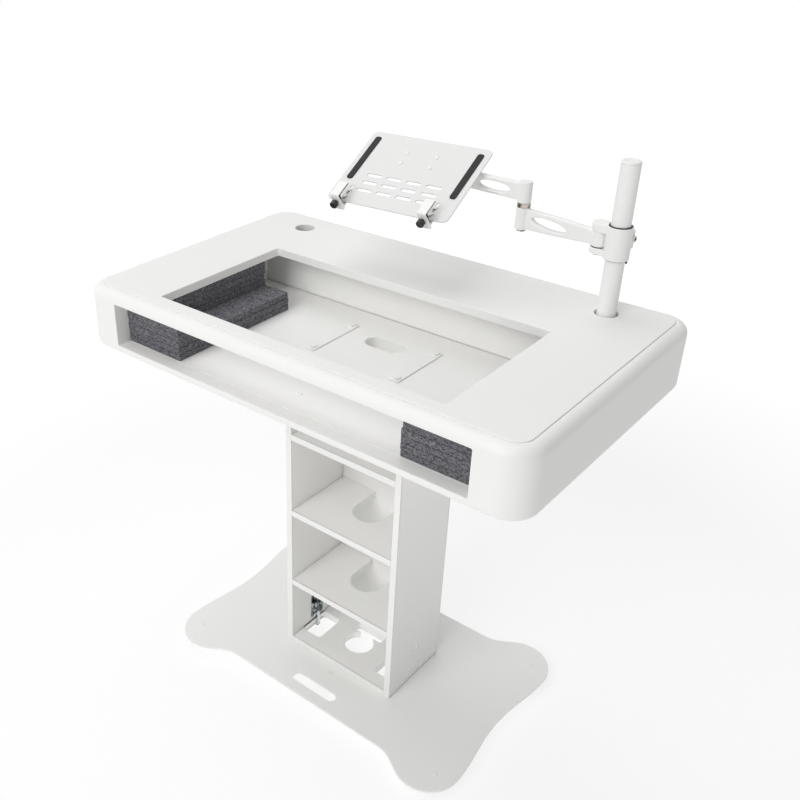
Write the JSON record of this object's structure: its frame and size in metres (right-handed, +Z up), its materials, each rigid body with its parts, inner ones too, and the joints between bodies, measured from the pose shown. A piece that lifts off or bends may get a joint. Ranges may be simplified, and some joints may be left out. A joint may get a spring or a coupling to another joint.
{
  "type": "dj podium stand",
  "caption": "White knock-down podium for a disc jockey: shaped foot plate, shelf tower, hollow table top with a console cut-out, and an articulated laptop arm on a mast",
  "frame": {"origin": "on the floor under the middle of the table", "axes": "+X right along the table's front as its user sees it, +Y away from the user, +Z up"},
  "size_m": [1.032, 0.632, 1.235],
  "materials": {
    "powder_coat": "satin",
    "white_board": "matt white lacquer",
    "white_top": "matt white lacquer",
    "white_arm": "satin",
    "rubber": "matt",
    "zinc": "zinc plated",
    "nickel": "nickel plated",
    "foam": "closed-cell foam",
    "black_plastic": "fine grained"
  },
  "bodies": {
    "podium": {"base_foot_back_left": "rubber", "base_foot_back_right": "rubber", "base_foot_front_left": "rubber", "base_foot_front_right": "rubber", "base_foot_middle": "rubber", "base_plate": "powder_coat", "foam_stack_left": "foam", "foam_stack_right": "foam", "latch_plate_left": "zinc", "latch_plate_right": "zinc", "mast": "white_arm", "mast_cap": "white_arm", "mast_socket_left": "powder_coat", "mast_socket_right": "powder_coat", "table_bay_back": "white_top", "table_bay_end_left": "white_top", "table_bay_end_right": "white_top", "table_floor": "white_top", "table_rim": "white_top", "table_strap_left": "zinc", "table_strap_right": "zinc", "table_top_panel": "white_top", "tower_back_panel": "white_board", "tower_bottom_board": "white_board", "tower_shelf_lower": "white_board", "tower_shelf_middle": "white_board", "tower_shelf_upper": "white_board", "tower_side_left": "white_board", "tower_side_right": "white_board", "tower_top_board": "white_board"},
    "latch_hook_left": {"latch_hook_left": "zinc"},
    "latch_hook_right": {"latch_hook_right": "zinc"},
    "latch_wing_left": {"latch_wing_left": "zinc"},
    "latch_wing_right": {"latch_wing_right": "zinc"},
    "mast_bush": {"mast_bush": "black_plastic"},
    "collar": {"collar": "white_arm", "clamp_bolt": "white_arm", "shoulder_pin": "zinc"},
    "clamp_lever": {"clamp_lever": "black_plastic"},
    "lower_arm": {"lower_arm": "white_arm", "shoulder_washer": "black_plastic", "elbow_pin": "zinc"},
    "upper_arm": {"upper_arm": "white_arm", "elbow_ring": "nickel"},
    "wrist": {"wrist_head": "white_arm", "wrist_nut": "zinc", "tilt_pin": "zinc"},
    "tray": {"tray_bracket": "white_arm", "tray_plate": "white_arm", "tray_pad_left": "rubber", "tray_pad_right": "rubber"},
    "edge_clamp_foot_left": {"clamp_foot_left": "white_arm"},
    "edge_clamp_hook_left": {"clamp_hook_left": "white_arm", "clamp_liner_left": "rubber"},
    "edge_clamp_knob_left": {"clamp_knob_left": "black_plastic"},
    "edge_clamp_foot_right": {"clamp_foot_right": "white_arm"},
    "edge_clamp_hook_right": {"clamp_hook_right": "white_arm", "clamp_liner_right": "rubber"},
    "edge_clamp_knob_right": {"clamp_knob_right": "black_plastic"}
  },
  "joints": [
    {"name": "latch_turn_left", "type": "hinge", "parent": "podium", "child": "latch_wing_left", "pos_m": [-0.132, -0.005, 0.098], "axis": [1, 0, 0], "range_deg": [-2, 182]},
    {"name": "latch_slide_left", "type": "slide", "parent": "podium", "child": "latch_hook_left", "axis": [0, 0, 1], "range_m": [-0.005, 0]},
    {"name": "latch_turn_right", "type": "hinge", "parent": "podium", "child": "latch_wing_right", "pos_m": [0.132, -0.005, 0.098], "axis": [1, 0, 0], "range_deg": [-2, 182]},
    {"name": "latch_slide_right", "type": "slide", "parent": "podium", "child": "latch_hook_right", "axis": [0, 0, 1], "range_m": [-0.005, 0]},
    {"name": "collar_lift", "type": "slide", "parent": "podium", "child": "mast_bush", "axis": [0, 0, 1], "range_m": [-0.08, 0.1]},
    {"name": "collar_swivel", "type": "hinge", "parent": "mast_bush", "child": "collar", "pos_m": [0.374, 0.2286, 1.054], "axis": [0, 0, 1], "continuous": true},
    {"name": "clamp_lever_turn", "type": "hinge", "parent": "collar", "child": "clamp_lever", "pos_m": [0.37753, 0.25738, 1.087], "axis": [0.9925, -0.1219, 0], "range_deg": [0, 120]},
    {"name": "shoulder", "type": "hinge", "parent": "collar", "child": "lower_arm", "pos_m": [0.33609, 0.23325, 1.0668], "axis": [0, 0, 1], "range_deg": [-100, 100]},
    {"name": "elbow", "type": "hinge", "parent": "lower_arm", "child": "upper_arm", "pos_m": [0.16993, 0.244, 1.1136], "axis": [0, 0, 1], "range_deg": [-90, 90]},
    {"name": "wrist_pan", "type": "hinge", "parent": "upper_arm", "child": "wrist", "pos_m": [-0.06537, 0.26211, 1.1556], "axis": [0, 0, 1], "range_deg": [-170, 3]},
    {"name": "tray_tilt", "type": "hinge", "parent": "wrist", "child": "tray", "pos_m": [-0.06537, 0.26211, 1.1689], "axis": [0.9973, 0.0729, 0], "range_deg": [-27.7, 6]},
    {"name": "edge_clamp_reach_left", "type": "slide", "parent": "tray", "child": "edge_clamp_foot_left", "axis": [-0.0645, 0.883, 0.4648], "range_m": [-0.01, 0.01]},
    {"name": "edge_clamp_height_left", "type": "slide", "parent": "edge_clamp_foot_left", "child": "edge_clamp_hook_left", "axis": [0.0339, -0.4636, 0.8854], "range_m": [0, 0.006]},
    {"name": "edge_clamp_knob_turn_left", "type": "hinge", "parent": "edge_clamp_foot_left", "child": "edge_clamp_knob_left", "pos_m": [-0.15074, 0.05825, 1.09253], "axis": [-0.0645, 0.883, 0.4648], "continuous": true},
    {"name": "edge_clamp_reach_right", "type": "slide", "parent": "tray", "child": "edge_clamp_foot_right", "axis": [-0.0645, 0.883, 0.4648], "range_m": [-0.01, 0.01]},
    {"name": "edge_clamp_height_right", "type": "slide", "parent": "edge_clamp_foot_right", "child": "edge_clamp_hook_right", "axis": [0.0339, -0.4636, 0.8854], "range_m": [0, 0.006]},
    {"name": "edge_clamp_knob_turn_right", "type": "hinge", "parent": "edge_clamp_foot_right", "child": "edge_clamp_knob_right", "pos_m": [0.04873, 0.07283, 1.09253], "axis": [-0.0645, 0.883, 0.4648], "continuous": true}
  ],
  "couplings": [
    {"joint": "latch_turn_left", "follows": "latch_slide_left", "rad_per_m": -628.32},
    {"joint": "latch_turn_right", "follows": "latch_slide_right", "rad_per_m": -628.32}
  ]
}
